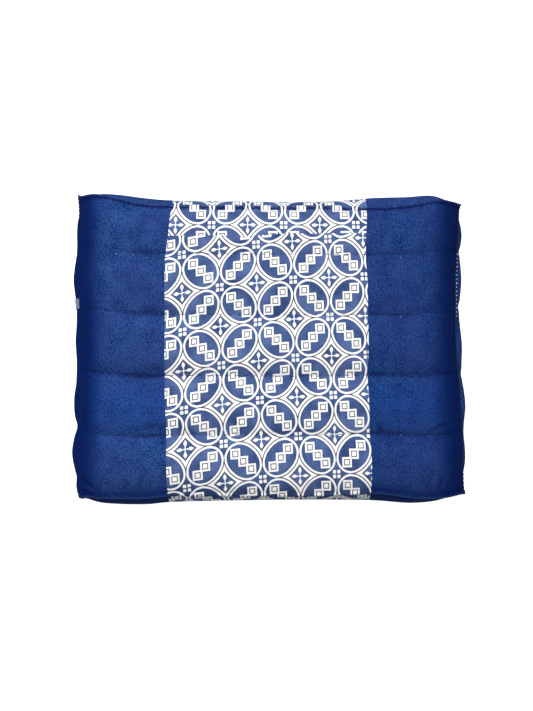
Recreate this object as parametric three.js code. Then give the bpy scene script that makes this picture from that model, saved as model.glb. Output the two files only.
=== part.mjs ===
// A rectangular meditation cushion: a boxed cloth cover filled firmly with kapok, quilted into five channels
// that run along its length. Millimetres, +Z up. The long side lies along X, the far side is +Y, and the
// cushion lies on its flattened underside at Z = 0.

import * as THREE from 'three';

// The crown of the top, and how far the panel falls from it to the seams. The tubes taper at their ends, so the
// seam lies lower there than along the sides.
const TOP_CROWN_Z = 77;
const TOP_FALL = { end: 33, side: 13 };
const END_SHOULDER = 44; // how far in from a seam the panel takes to reach its crown
const FAR_SHOULDER = 30;
const NEAR_SHOULDER = 40;
const END_STEEPNESS = 1.4; // 1 is a parabola, and 2 a quarter ellipse that meets the seam upright
const SIDE_STEEPNESS = 1;

// The underside is the same form, but its own weight presses its crests flat on the floor
const UNDERSIDE_CROWN_Z = -4;
const UNDERSIDE_RISE = { end: 20, side: 16 };
const UNDER_SHOULDER = 40;

// The pinched seam's lip, and the ear that it makes at each corner
const SEAM_LIP = 1.4;
const EAR_LENGTH = 2.5;
const CORNER_PINCH = 4; // the slack corners bring the two seams this much nearer to each other
const CORNER_TIGHTNESS = 18; // how closely the ears and the turn of the wall keep to the corners

// Stations along the length. far and near are where the top seam runs, which the filling draws in between
// the corners, and farBulge and nearBulge say how far the wall stands out past the seam.
const LENGTH_STATIONS = [
  { x: -188, far: 149, near: -142, farBulge: 0, nearBulge: 1 },
  { x: -172, far: 150, near: -146, farBulge: 5, nearBulge: 7 },
  { x: -150, far: 146, near: -147, farBulge: 9, nearBulge: 9 },
  { x: -120, far: 140, near: -147, farBulge: 11, nearBulge: 9 },
  { x: -90, far: 139, near: -144.5, farBulge: 10, nearBulge: 8.5 },
  { x: 0, far: 138, near: -144.5, farBulge: 10, nearBulge: 6.5 },
  { x: 55, far: 138, near: -144.5, farBulge: 10, nearBulge: 6.5 },
  { x: 105, far: 137, near: -142, farBulge: 15, nearBulge: 10 },
  { x: 140, far: 139, near: -146.5, farBulge: 14, nearBulge: 8.5 },
  { x: 168, far: 144, near: -146.5, farBulge: 10, nearBulge: 5.5 },
  { x: 191, far: 142, near: -142, farBulge: 1, nearBulge: 0 },
];

// The five channels from the near side to the far side. width is seam to seam, and crease is how far the
// sewn line on the far side of the channel is drawn down. left and right are where the end seams lie at the
// channel's middle, and leftBulge and rightBulge say how far the tube's ends stand out past them.
const CHANNELS = [
  { width: 58, crease: 6.5, left: -190, right: 193, leftBulge: 8, rightBulge: 6 },
  { width: 57, crease: 7.5, left: -189, right: 191, leftBulge: 8, rightBulge: 8 },
  { width: 59, crease: 4.5, left: -187, right: 187, leftBulge: 8, rightBulge: 9 },
  { width: 59, crease: 2.5, left: -190, right: 187, leftBulge: 8, rightBulge: 7 },
  { width: 47, crease: 0, left: -189, right: 190, leftBulge: 7, rightBulge: 7 },
];
const UNDERSIDE_CREASE = 9;
const END_NOTCH = 2; // how much less the ends stand out where a sewn line meets them
const CORNER_BULGE = -1; // the wall turns its corners just inside the seam
const CHANNEL_ROUNDNESS = 2.1; // 2 across a channel is a parabola, and more has a flatter crest
const CREASE_STEEPNESS = 1.25; // above 1 drops faster into the sewn line

// Mesh divisions
const LENGTH_CELLS = 30;
const CELLS_PER_CHANNEL = 8;
const WALL_CELLS = 8;
const END_CLUSTERING = 1.55; // above 1 crowds the divisions towards the ends

const COVER_COLOUR = 0x24448c;
const COVER_ROUGHNESS = 0.85;

const { clamp, lerp } = THREE.MathUtils;

// A smooth curve through one column of a table, as a function of the share of the way down its rows
function columnCurve(positions, values) {
  const curve = new THREE.SplineCurve(positions.map((at, i) => new THREE.Vector2(at, values[i])));
  const samples = curve.getPoints(400);
  const first = samples[0].x;
  const last = samples[samples.length - 1].x;
  return (share) => {
    const at = lerp(first, last, clamp(share, 0, 1));
    const after = Math.max(1, samples.findIndex((point) => point.x >= at - 1e-9));
    const [low, high] = [samples[after - 1], samples[after]];
    return lerp(low.y, high.y, clamp((at - low.x) / (high.x - low.x), 0, 1));
  };
}

const stationX = LENGTH_STATIONS.map((station) => station.x);
const alongLength = (column) => columnCurve(stationX, LENGTH_STATIONS.map((station) => station[column]));
const farSeam = alongLength('far');
const nearSeam = alongLength('near');
const farBulge = alongLength('farBulge');
const nearBulge = alongLength('nearBulge');

// The curves of one end, which gain a row for each sewn line and for the two corners
const totalWidth = CHANNELS.reduce((sum, channel) => sum + channel.width, 0);
function endCurves(seam, bulge) {
  const rows = [];
  let edge = 0;
  CHANNELS.forEach((channel, i) => {
    const before = CHANNELS[Math.max(i - 1, 0)];
    const notch = (channel[bulge] + before[bulge]) / 2 - END_NOTCH;
    rows.push({ at: edge, seam: (channel[seam] + before[seam]) / 2, bulge: i === 0 ? CORNER_BULGE : notch });
    rows.push({ at: edge + channel.width / 2, seam: channel[seam], bulge: channel[bulge] });
    edge += channel.width;
  });
  rows.push({ at: edge, seam: CHANNELS[CHANNELS.length - 1][seam], bulge: CORNER_BULGE });
  const at = rows.map((row) => row.at);
  return {
    seam: columnCurve(at, rows.map((row) => row.seam)),
    bulge: columnCurve(at, rows.map((row) => row.bulge)),
  };
}
const leftEnd = endCurves('left', 'leftBulge');
const rightEnd = endCurves('right', 'rightBulge');

// From the box's even divisions to shares of the length, crowded towards the ends
function lengthShare(a) {
  const fromEnd = (1 - Math.abs(a)) ** END_CLUSTERING;
  return 0.5 + 0.5 * Math.sign(a) * (1 - fromEnd);
}

// The channel that a division across the width lies in, how far across the channel it is, and its share of
// the whole width. Divisions crowd towards the sewn lines.
function acrossWidth(b) {
  const position = ((b + 1) / 2) * CHANNELS.length;
  const index = Math.min(Math.floor(position + 1e-9), CHANNELS.length - 1);
  const within = 0.5 - 0.5 * Math.cos(Math.PI * clamp(position - index, 0, 1));
  const before = CHANNELS.slice(0, index).reduce((sum, channel) => sum + channel.width, 0);
  return { index, within, share: (before + within * CHANNELS[index].width) / totalWidth };
}

// How much of its fall a panel has left at a distance from a seam: 1 at the seam, and 0 past the shoulder
function fallLeft(distance, width, steepness) {
  const left = 1 - clamp(distance / width, 0, 1);
  return 1 - (1 - left ** 2) ** (1 / steepness);
}

// How far the quilting draws a panel in at a point across a channel: nothing on its crest, most at its lines
function drawnIn(across, nearCrease, farCrease) {
  const sideways = Math.abs(2 * across.within - 1);
  const dome = (1 - sideways ** CHANNEL_ROUNDNESS) ** (1 / CREASE_STEEPNESS);
  const nearLine = across.index === 0 ? 0 : nearCrease;
  const farLine = across.index === CHANNELS.length - 1 ? 0 : farCrease;
  return (across.within < 0.5 ? nearLine : farLine) * (1 - dome);
}

// 1 at the end or side that a share of the way across leads to, and 0 away from it
const towardsEdge = (share) => Math.abs(2 * share - 1) ** CORNER_TIGHTNESS;

// A point in plan inside the seam's outline
function planPoint(lengthPart, across) {
  return new THREE.Vector3(
    lerp(leftEnd.seam(across.share), rightEnd.seam(across.share), lengthPart),
    lerp(nearSeam(lengthPart), farSeam(lengthPart), across.share),
    0,
  );
}

// The height of the top (side 1) or the underside (side -1) at a point in plan
function panelHeight(side, point, lengthPart, across) {
  const fromEnd = Math.min(point.x - leftEnd.seam(across.share), rightEnd.seam(across.share) - point.x);
  const fromNear = point.y - nearSeam(lengthPart);
  const fromFar = farSeam(lengthPart) - point.y;
  const pinch = CORNER_PINCH * towardsEdge(lengthPart) * towardsEdge(across.share);
  if (side > 0) {
    const byEnd = fallLeft(fromEnd, END_SHOULDER, END_STEEPNESS);
    const byNear = fallLeft(fromNear, NEAR_SHOULDER, SIDE_STEEPNESS);
    const byFar = fallLeft(fromFar, FAR_SHOULDER, SIDE_STEEPNESS);
    const nearCrease = CHANNELS[Math.max(across.index - 1, 0)].crease;
    const crease = drawnIn(across, nearCrease, CHANNELS[across.index].crease);
    const fall = Math.hypot(TOP_FALL.end * byEnd, TOP_FALL.side * (byNear + byFar));
    return TOP_CROWN_Z - fall - crease * (1 - byEnd) - pinch;
  }
  const byEnd = fallLeft(fromEnd, UNDER_SHOULDER, END_STEEPNESS);
  const bySide = fallLeft(Math.min(fromNear, fromFar), UNDER_SHOULDER, END_STEEPNESS);
  const crease = drawnIn(across, UNDERSIDE_CREASE, UNDERSIDE_CREASE);
  const rise = Math.hypot(UNDERSIDE_RISE.end * byEnd, UNDERSIDE_RISE.side * bySide);
  return Math.max(0, UNDERSIDE_CROWN_Z + rise + crease * (1 - byEnd) + pinch);
}

// A point of the top panel (side 1) or the bottom panel (side -1)
function panelPoint(a, b, side) {
  const lengthPart = lengthShare(a);
  const across = acrossWidth(b);
  const point = planPoint(lengthPart, across);
  point.z = panelHeight(side, point, lengthPart, across);
  return point;
}

// A point of the wall that runs round between the two seams; c is -1 at the bottom seam and 1 at the top one
function wallPoint(a, b, c) {
  const lengthPart = lengthShare(a);
  const across = acrossWidth(b);
  const point = planPoint(lengthPart, across);
  const topSeamZ = panelHeight(1, point, lengthPart, across);
  const bottomSeamZ = panelHeight(-1, point, lengthPart, across);
  const towardsEnd = towardsEdge(lengthPart);
  const towardsSide = towardsEdge(across.share);
  const endBulge = (a < 0 ? leftEnd : rightEnd).bulge(across.share);
  const sideBulge = (b < 0 ? nearBulge : farBulge)(lengthPart);
  const upWall = Math.sin((c * Math.PI) / 2); // crowds the divisions towards the seams
  const belly = 1 - Math.abs(upWall) ** 2.2;
  const lip = Math.abs(c) === 1 ? SEAM_LIP + EAR_LENGTH * towardsEnd * towardsSide : 0;
  point.x += Math.sign(a) * towardsEnd * (endBulge * belly + lip);
  point.y += Math.sign(b) * towardsSide * (sideBulge * belly + lip);
  point.z = lerp(bottomSeamZ, topSeamZ, (upWall + 1) / 2);
  return point;
}

// The filled cover: a box's surface, carried point by point onto the cushion's own form
function cushionGeometry() {
  const widthCells = CELLS_PER_CHANNEL * CHANNELS.length;
  const geometry = new THREE.BoxGeometry(2, 2, 2, LENGTH_CELLS, widthCells, WALL_CELLS);
  const corners = geometry.getAttribute('position');
  for (let i = 0; i < corners.count; i += 1) {
    const [a, b, c] = [corners.getX(i), corners.getY(i), corners.getZ(i)];
    const onWall = Math.abs(a) === 1 || Math.abs(b) === 1;
    const point = onWall ? wallPoint(a, b, c) : panelPoint(a, b, c);
    corners.setXYZ(i, point.x, point.y, point.z);
  }
  geometry.computeBoundingBox();
  const middle = geometry.boundingBox.getCenter(new THREE.Vector3());
  geometry.translate(-middle.x, -middle.y, -geometry.boundingBox.min.z);
  geometry.computeVertexNormals();
  return geometry;
}

const coverCloth = new THREE.MeshStandardMaterial({
  color: COVER_COLOUR,
  roughness: COVER_ROUGHNESS,
  metalness: 0,
});

const cushion = new THREE.Mesh(cushionGeometry(), coverCloth);
cushion.name = 'cushion';

const meditationCushion = new THREE.Group();
meditationCushion.add(cushion);

export default meditationCushion;
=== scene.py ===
"""A rectangular meditation cushion: blue slubbed cotton with a printed middle band, filled with kapok."""

import math
from functools import partialmethod

import bmesh
import bpy
import numpy as np
from bpy.props import FloatProperty, FloatVectorProperty, IntProperty, PointerProperty
from mathutils import Matrix, Vector
from mathutils.bvhtree import BVHTree


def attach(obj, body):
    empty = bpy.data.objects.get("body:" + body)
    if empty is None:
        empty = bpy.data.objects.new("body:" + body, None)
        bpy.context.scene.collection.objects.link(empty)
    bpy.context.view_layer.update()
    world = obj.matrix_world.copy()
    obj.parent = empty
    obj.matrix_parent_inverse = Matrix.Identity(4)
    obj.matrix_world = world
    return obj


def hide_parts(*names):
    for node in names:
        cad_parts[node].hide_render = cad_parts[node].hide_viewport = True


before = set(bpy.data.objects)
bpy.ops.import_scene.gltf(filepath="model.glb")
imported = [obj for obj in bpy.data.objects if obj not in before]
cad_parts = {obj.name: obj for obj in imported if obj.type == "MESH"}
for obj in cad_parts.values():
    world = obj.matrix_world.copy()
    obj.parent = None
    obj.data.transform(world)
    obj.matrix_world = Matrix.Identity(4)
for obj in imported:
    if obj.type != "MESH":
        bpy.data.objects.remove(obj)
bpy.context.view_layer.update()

bl_info = {
    "name": "Meditation Cushion",
    "version": (1, 0, 0),
    "blender": (4, 5, 0),
    "location": "3D View > Sidebar > Cushion",
    "description": "Sews a channelled kapok cushion with a printed band, and sets it on a pale floor",
    "category": "Object",
}

MM = 0.001
NODE = "cushion"
BODY = "root"


# Sizes, in millimetres, as in the solid that the cover replaces


def table(columns, *rows):
    """A small table, as one array for each of its named columns."""
    return dict(zip(columns.split(), np.array(rows, dtype=float).T))


TOP_CROWN_Z = 77.0
TOP_FALL = {"end": 33.0, "side": 13.0}
END_SHOULDER = 44.0
FAR_SHOULDER = 30.0
NEAR_SHOULDER = 40.0
END_STEEPNESS = 1.4
SIDE_STEEPNESS = 1.0
UNDERSIDE_CROWN_Z = -4.0
UNDERSIDE_RISE = {"end": 20.0, "side": 16.0}
UNDER_SHOULDER = 40.0
SEAM_LIP = 1.4
BELLY_ROUNDNESS = 2.2
EAR_LENGTH = 2.5
EAR_FLARE = 3
EAR_FULLNESS = 3.0
CORNER_PINCH = 4.0
CORNER_TIGHTNESS = 18.0
UNDERSIDE_CREASE = 9.0
END_NOTCH = 2.0
NOMINAL_LENGTH = 380.0
CORNER_BULGE = -1.0
CHANNEL_ROUNDNESS = 2.1
CREASE_STEEPNESS = 1.25

# Where the long seams run, and how far the wall stands out past them
STATIONS = table(
    "x far near far_bulge near_bulge",
    (-188, 149, -142, 0, 1),
    (-172, 150, -146, 5, 7),
    (-150, 146, -147, 9, 9),
    (-120, 140, -147, 11, 9),
    (-90, 139, -144.5, 10, 8.5),
    (0, 138, -144.5, 10, 6.5),
    (55, 138, -144.5, 10, 6.5),
    (105, 137, -142, 15, 10),
    (140, 139, -146.5, 14, 8.5),
    (168, 144, -146.5, 10, 5.5),
    (191, 142, -142, 1, 0),
)

# The five channels from near to far: width, depth of the sewn line on the far side, end seams and end bulges
CHANNELS = table(
    "width crease left right left_bulge right_bulge",
    (58, 6.5, -190, 193, 8, 6),
    (57, 7.5, -189, 191, 8, 8),
    (59, 4.5, -187, 187, 8, 9),
    (59, 2.5, -190, 187, 8, 7),
    (47, 0.0, -189, 190, 7, 7),
)
CHANNEL_COUNT = len(CHANNELS["width"])
CHANNEL_EDGES = np.concatenate([[0], np.cumsum(CHANNELS["width"])])
TOTAL_WIDTH = CHANNEL_EDGES[-1]

# The two seams between the plain ends and the printed band
BAND_SEAMS = table(
    "y left right",
    (-145, -98.9, 99.4),
    (-124, -99.5, 100.0),
    (-98, -99.6, 98.8),
    (-72, -100.2, 97.6),
    (-31, -101.8, 95.9),
    (6, -101.5, 96.6),
    (59, -101.7, 96.0),
    (85, -101.7, 94.3),
    (109, -98.4, 94.4),
    (144, -95.8, 97.0),
)

# The join between the two offcuts of print that make up the band
PRINT_JOIN = table(
    "x y",
    (-97, 108.6),
    (-48, 109.3),
    (-25, 106.6),
    (-9, 109.0),
    (1, 109.9),
    (24, 110.9),
    (42, 110.5),
    (70, 111.3),
    (95, 110.9),
)

# How the repeat lies on each offcut: its column and row at a place in millimetres from the middle
MAIN_COLUMN = {"middle": 2.291, "x": 0.02787, "y": 0.00081, "xy": 3.3e-6, "xx": 6.5e-6, "yy": -1.4e-6}
MAIN_ROW = {"middle": 2.666, "x": 0.00247, "y": -0.02626, "xy": 0.7e-6, "xx": -1.10e-5, "yy": -0.8e-6}
FAR_COLUMN = {"middle": 3.595, "x": 0.02836, "y": 0.0, "xy": 0.0, "xx": 0.0, "yy": 0.0}
FAR_ROW = {"middle": 3.123, "x": 0.0, "y": -0.02618, "xy": 0.0, "xx": 0.0, "yy": 0.0}

# Folds that the stitching pulls into the cloth: middle, direction, length, width, and depth (minus is raised)
FOLDS = table(
    "x y angle length width depth",
    (-176, -140, -27, 24, 1.6, -1.3),
    (-178, -134, -35, 16, 2.5, 1.0),
    (114, 130, 85, 16, 2.2, 1.1),
    (120, 131, 95, 11, 2.0, 0.6),
    (-164, -134, 78, 15, 2.2, 0.9),
    (-158, -135, 84, 12, 2.0, 0.7),
    (-126, -134, 80, 14, 2.2, 0.8),
    (-116, -136, 94, 12, 2.0, 0.8),
    (109, -83, -80, 15, 2.4, 1.2),
    (115, -87, -66, 17, 2.4, 1.3),
    (122, -86, -60, 13, 2.2, 0.8),
    (168, -77, 24, 44, 2.4, 0.6),
    (172, -88, 9, 34, 2.2, 0.5),
    (166, -67, 30, 30, 2.2, 0.3),
    (156, -133, 80, 14, 2.2, 0.8),
    (168, -132, 72, 14, 2.2, 0.9),
    (180, -131, 58, 15, 2.4, 0.9),
    (-106, -82, 70, 13, 2.4, 0.7),
    (-113, -84, 100, 12, 2.2, 0.6),
    (-108, 91, 75, 12, 2.4, 0.6),
    (-120, 90, 98, 11, 2.2, 0.5),
    (104, 30, 80, 12, 2.4, 0.6),
    (150, 135, 86, 14, 2.2, 0.6),
    (168, 137, 70, 15, 2.2, 0.7),
    (-140, 138, 95, 13, 2.2, 0.5),
    (-116, 34, 0, 30, 3.2, 0.9),
    (-122, 92, 0, 30, 3.0, 0.9),
    (-112, -23, 0, 26, 3.2, 0.8),
    (-113, -78, 2, 24, 3.4, 1.0),
    (-121, -29, 0, 40, 2.4, 0.5),
)

# Where the wall of an end is drawn in (minus stands out) past its general shape: end, place, width and depth
WALL_DENTS = table(
    "right y width depth",
    (0, -78, 7, 2.2),
    (0, -102, 12, -0.9),
    (0, -38, 12, 0.6),
    (0, 8, 9, -0.5),
    (0, 72, 10, -0.5),
    (0, 122, 12, 0.8),
    (1, 72, 20, -1.8),
    (1, 99, 4, 0.9),
    (1, 43, 4, 1.0),
    (1, -26, 5, 0.9),
    (1, -60, 9, -0.5),
)

# Where the quilting is tied off, which dimples the cloth and leaves a speck of thread
TIES = table(
    "x y depth",
    (128.7, 87.5, 0.9),
    (128.7, 29.5, 0.8),
    (128.7, -86.0, 0.9),
    (-149.6, 91.0, 0.7),
    (-132.6, 90.0, 0.8),
)

# The ears that the pinched seam makes at the corners, three of them pointed and the near left one blunt:
# where the seam is drawn, over how wide a stretch, and how far
EARS = table(
    "x y spread dx dy dz",
    (-193.4, 153.3, 2.2, -0.6, 3.2, 0.5),
    (193.4, 146.3, 2.2, 1.6, -0.4, 0.0),
    (196.4, -145.5, 2.2, 1.4, -0.6, 0.0),
    (-194.4, -145.5, 3.2, 2.6, -1.4, -0.5),
    (-187.5, -146.0, 5.5, 0.4, -4.2, -0.5),
)

# Mesh divisions: columns in a plain end, columns in the band, rows in each channel, and levels up the wall
END_COLUMNS = 24
BAND_COLUMNS = 50
CHANNEL_ROWS = (15, 15, 15, 15, 12)
WALL_LEVELS = 11
END_CROWDING = 1.25
ROW_CROWDING = 0.07


def mix(low, high, part):
    """The value that lies a part of the way from low to high."""
    return low + (high - low) * part


def bell(distance, width):
    """1 at no distance, falling smoothly to nothing over about twice the width."""
    return np.exp(-((distance / width) ** 2))


def smooth_curve(positions, values):
    """A smooth curve through two columns of a table, as a function of the share of the way along it."""
    points = np.column_stack([positions, values])
    last = len(points) - 1
    steps = np.linspace(0, last, 401)
    index = np.minimum(steps.astype(int), last - 1)
    part = (steps - index)[:, None]
    start, end = points[index], points[index + 1]
    leaving = (end - points[np.maximum(index - 1, 0)]) / 2
    arriving = (points[np.minimum(index + 2, last)] - start) / 2
    path = (
        (2 * start - 2 * end + leaving + arriving) * part**3
        + (-3 * start + 3 * end - 2 * leaving - arriving) * part**2
        + leaving * part
        + start
    )
    return lambda share: np.interp(mix(path[0, 0], path[-1, 0], np.clip(share, 0, 1)), path[:, 0], path[:, 1])


far_seam = smooth_curve(STATIONS["x"], STATIONS["far"])
near_seam = smooth_curve(STATIONS["x"], STATIONS["near"])
far_bulge = smooth_curve(STATIONS["x"], STATIONS["far_bulge"])
near_bulge = smooth_curve(STATIONS["x"], STATIONS["near_bulge"])


def end_curves(seam, bulge):
    """The seam and bulge of one end, with a row for each sewn line and for the two corners."""
    seams, bulges = CHANNELS[seam], CHANNELS[bulge]
    at, seam_rows, bulge_rows = [], [], []
    for i in range(CHANNEL_COUNT):
        before = max(i - 1, 0)
        notch = (bulges[i] + bulges[before]) / 2 - END_NOTCH
        at += [CHANNEL_EDGES[i], CHANNEL_EDGES[i] + CHANNELS["width"][i] / 2]
        seam_rows += [(seams[i] + seams[before]) / 2, seams[i]]
        bulge_rows += [CORNER_BULGE if i == 0 else notch, bulges[i]]
    at.append(TOTAL_WIDTH)
    seam_rows.append(seams[-1])
    bulge_rows.append(CORNER_BULGE)
    return smooth_curve(at, seam_rows), smooth_curve(at, bulge_rows)


left_seam, left_bulge = end_curves("left", "left_bulge")
right_seam, right_bulge = end_curves("right", "right_bulge")


def towards_edge(share):
    """1 at the end or side that a share of the way across leads to, and 0 away from it."""
    return np.abs(2 * share - 1) ** CORNER_TIGHTNESS


def fall_left(distance, width, steepness):
    """How much of its fall a panel has left at a distance from a seam."""
    left = 1 - np.clip(distance / width, 0, 1)
    return 1 - (1 - left**2) ** (1 / steepness)


def plan_point(length, across):
    """Where a share of the length and of the width lies in plan, inside the seams."""
    x = mix(left_seam(across), right_seam(across), length)
    y = mix(near_seam(length), far_seam(length), across)
    return x, y


def seam_distances(length, across):
    """How far a place on a panel lies from the end, near and far seams."""
    x, y = plan_point(length, across)
    from_end = np.minimum(x - left_seam(across), right_seam(across) - x)
    return from_end, y - near_seam(length), far_seam(length) - y


def panel_height(top, length, across):
    """The height of the top or of the underside."""
    from_end, from_near, from_far = seam_distances(length, across)
    at = across * TOTAL_WIDTH
    index = np.clip(np.searchsorted(CHANNEL_EDGES, at - 1e-6) - 1, 0, CHANNEL_COUNT - 1)
    within = (at - CHANNEL_EDGES[index]) / CHANNELS["width"][index]
    sideways = np.clip(np.abs(2 * within - 1), 0, 1)
    drawn = 1 - (1 - sideways**CHANNEL_ROUNDNESS) ** (1 / CREASE_STEEPNESS)
    near_line = np.where(index == 0, 0, CHANNELS["crease"][np.maximum(index - 1, 0)])
    far_line = CHANNELS["crease"][index]
    under_near = np.where(index == 0, 0, UNDERSIDE_CREASE)
    under_far = np.where(index == CHANNEL_COUNT - 1, 0, UNDERSIDE_CREASE)
    pinch = CORNER_PINCH * towards_edge(length) * towards_edge(across)
    if top:
        by_end = fall_left(from_end, END_SHOULDER, END_STEEPNESS)
        by_side = fall_left(from_near, NEAR_SHOULDER, SIDE_STEEPNESS)
        by_side = by_side + fall_left(from_far, FAR_SHOULDER, SIDE_STEEPNESS)
        crease = np.where(within < 0.5, near_line, far_line) * drawn
        fall = np.hypot(TOP_FALL["end"] * by_end, TOP_FALL["side"] * by_side)
        return TOP_CROWN_Z - fall - crease * (1 - by_end) - pinch
    by_end = fall_left(from_end, UNDER_SHOULDER, END_STEEPNESS)
    by_side = fall_left(np.minimum(from_near, from_far), UNDER_SHOULDER, END_STEEPNESS)
    crease = np.where(within < 0.5, under_near, under_far) * drawn
    rise = np.hypot(UNDERSIDE_RISE["end"] * by_end, UNDERSIDE_RISE["side"] * by_side)
    return np.maximum(0, UNDERSIDE_CROWN_Z + rise + crease * (1 - by_end) + pinch)


def wall_point(length, across, level):
    """A point of the wall between the two seams; level is -1 at the bottom seam and 1 at the top one."""
    x, y = plan_point(length, across)
    top_z = panel_height(True, length, across)
    bottom_z = panel_height(False, length, across)
    end, side = towards_edge(length), towards_edge(across)
    end_bulge = np.where(length < 0.5, left_bulge(across), right_bulge(across))
    side_bulge = np.where(across < 0.5, near_bulge(length), far_bulge(length))
    up = np.sin(level * np.pi / 2)
    belly = 1 - np.abs(up) ** BELLY_ROUNDNESS
    ear = end * side * (EAR_LENGTH * np.abs(up) ** EAR_FLARE + EAR_FULLNESS * belly)
    lip = (SEAM_LIP if abs(level) == 1 else 0) + ear
    x = x + np.sign(length - 0.5) * end * (end_bulge * belly + lip)
    y = y + np.sign(across - 0.5) * side * (side_bulge * belly + lip)
    return np.column_stack([x, y, mix(bottom_z, top_z, (up + 1) / 2)])


def middle_in_plan():
    """The middle of the whole outline, which the solid puts at the origin."""
    along = np.linspace(0, 1, 401)
    rings = []
    for level in (0.0, 1.0):
        for edge in (0.0, 1.0):
            rings.append(wall_point(along, np.full_like(along, edge), level))
            rings.append(wall_point(np.full_like(along, edge), along, level))
    points = np.concatenate(rings)[:, :2]
    return (points.min(axis=0) + points.max(axis=0)) / 2


MIDDLE = middle_in_plan()


def grid_shares():
    """Shares of the length and width at each crossing of the grid, whose columns follow the band's seams."""
    across = []
    for i, rows in enumerate(CHANNEL_ROWS):
        part = np.arange(rows) / rows
        within = part - ROW_CROWDING * np.sin(2 * np.pi * part)
        across += list((CHANNEL_EDGES[i] + within * CHANNELS["width"][i]) / TOTAL_WIDTH)
    across = np.array(across + [1.0])
    seams = []
    for side in ("left", "right"):
        share = np.full_like(across, 0.25 if side == "left" else 0.75)
        for _ in range(3):
            y = plan_point(share, across)[1] - MIDDLE[1]
            x = np.interp(y, BAND_SEAMS["y"], BAND_SEAMS[side]) + MIDDLE[0]
            share = (x - left_seam(across)) / (right_seam(across) - left_seam(across))
        seams.append(share)
    end_parts = (np.arange(END_COLUMNS + 1) / END_COLUMNS) ** END_CROWDING
    columns = [seams[0] * part for part in end_parts]
    columns += [mix(seams[0], seams[1], i / BAND_COLUMNS) for i in range(1, BAND_COLUMNS)]
    columns += [1 - (1 - seams[1]) * part for part in end_parts[::-1]]
    length = np.array(columns)
    return length, np.broadcast_to(across, length.shape)


def print_place(x, y, column, row):
    """Where a place on the band lies in the print's repeat."""
    terms = {"x": x, "y": y, "xy": x * y, "xx": x * x, "yy": y * y}

    def along(rule):
        return rule["middle"] + sum(rule[name] * value for name, value in terms.items())

    return along(column), along(row)


def soft_noise(x, y, seed):
    """Smooth random lumps between -1 and 1, about one unit across."""
    values = np.random.default_rng(seed).uniform(-1, 1, (64, 64))
    column, row = np.floor(x).astype(int), np.floor(y).astype(int)
    part_x, part_y = x - column, y - row
    part_x, part_y = part_x**2 * (3 - 2 * part_x), part_y**2 * (3 - 2 * part_y)
    low = mix(values[column % 64, row % 64], values[(column + 1) % 64, row % 64], part_x)
    high = mix(values[column % 64, (row + 1) % 64], values[(column + 1) % 64, (row + 1) % 64], part_x)
    return mix(low, high, part_y)


def band_edges(y):
    """Where the band's left and right seams lie at a place across the cushion."""
    return [np.interp(y, BAND_SEAMS["y"], BAND_SEAMS[side]) for side in ("left", "right")]


def nearest_line(across):
    """Which quilting line is nearest to a place across the cushion, and how far away it is."""
    away = np.abs(across[:, None] - CHANNEL_EDGES[None, 1:-1])
    return away.argmin(axis=1), away.min(axis=1)


# The cover's mesh


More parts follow.
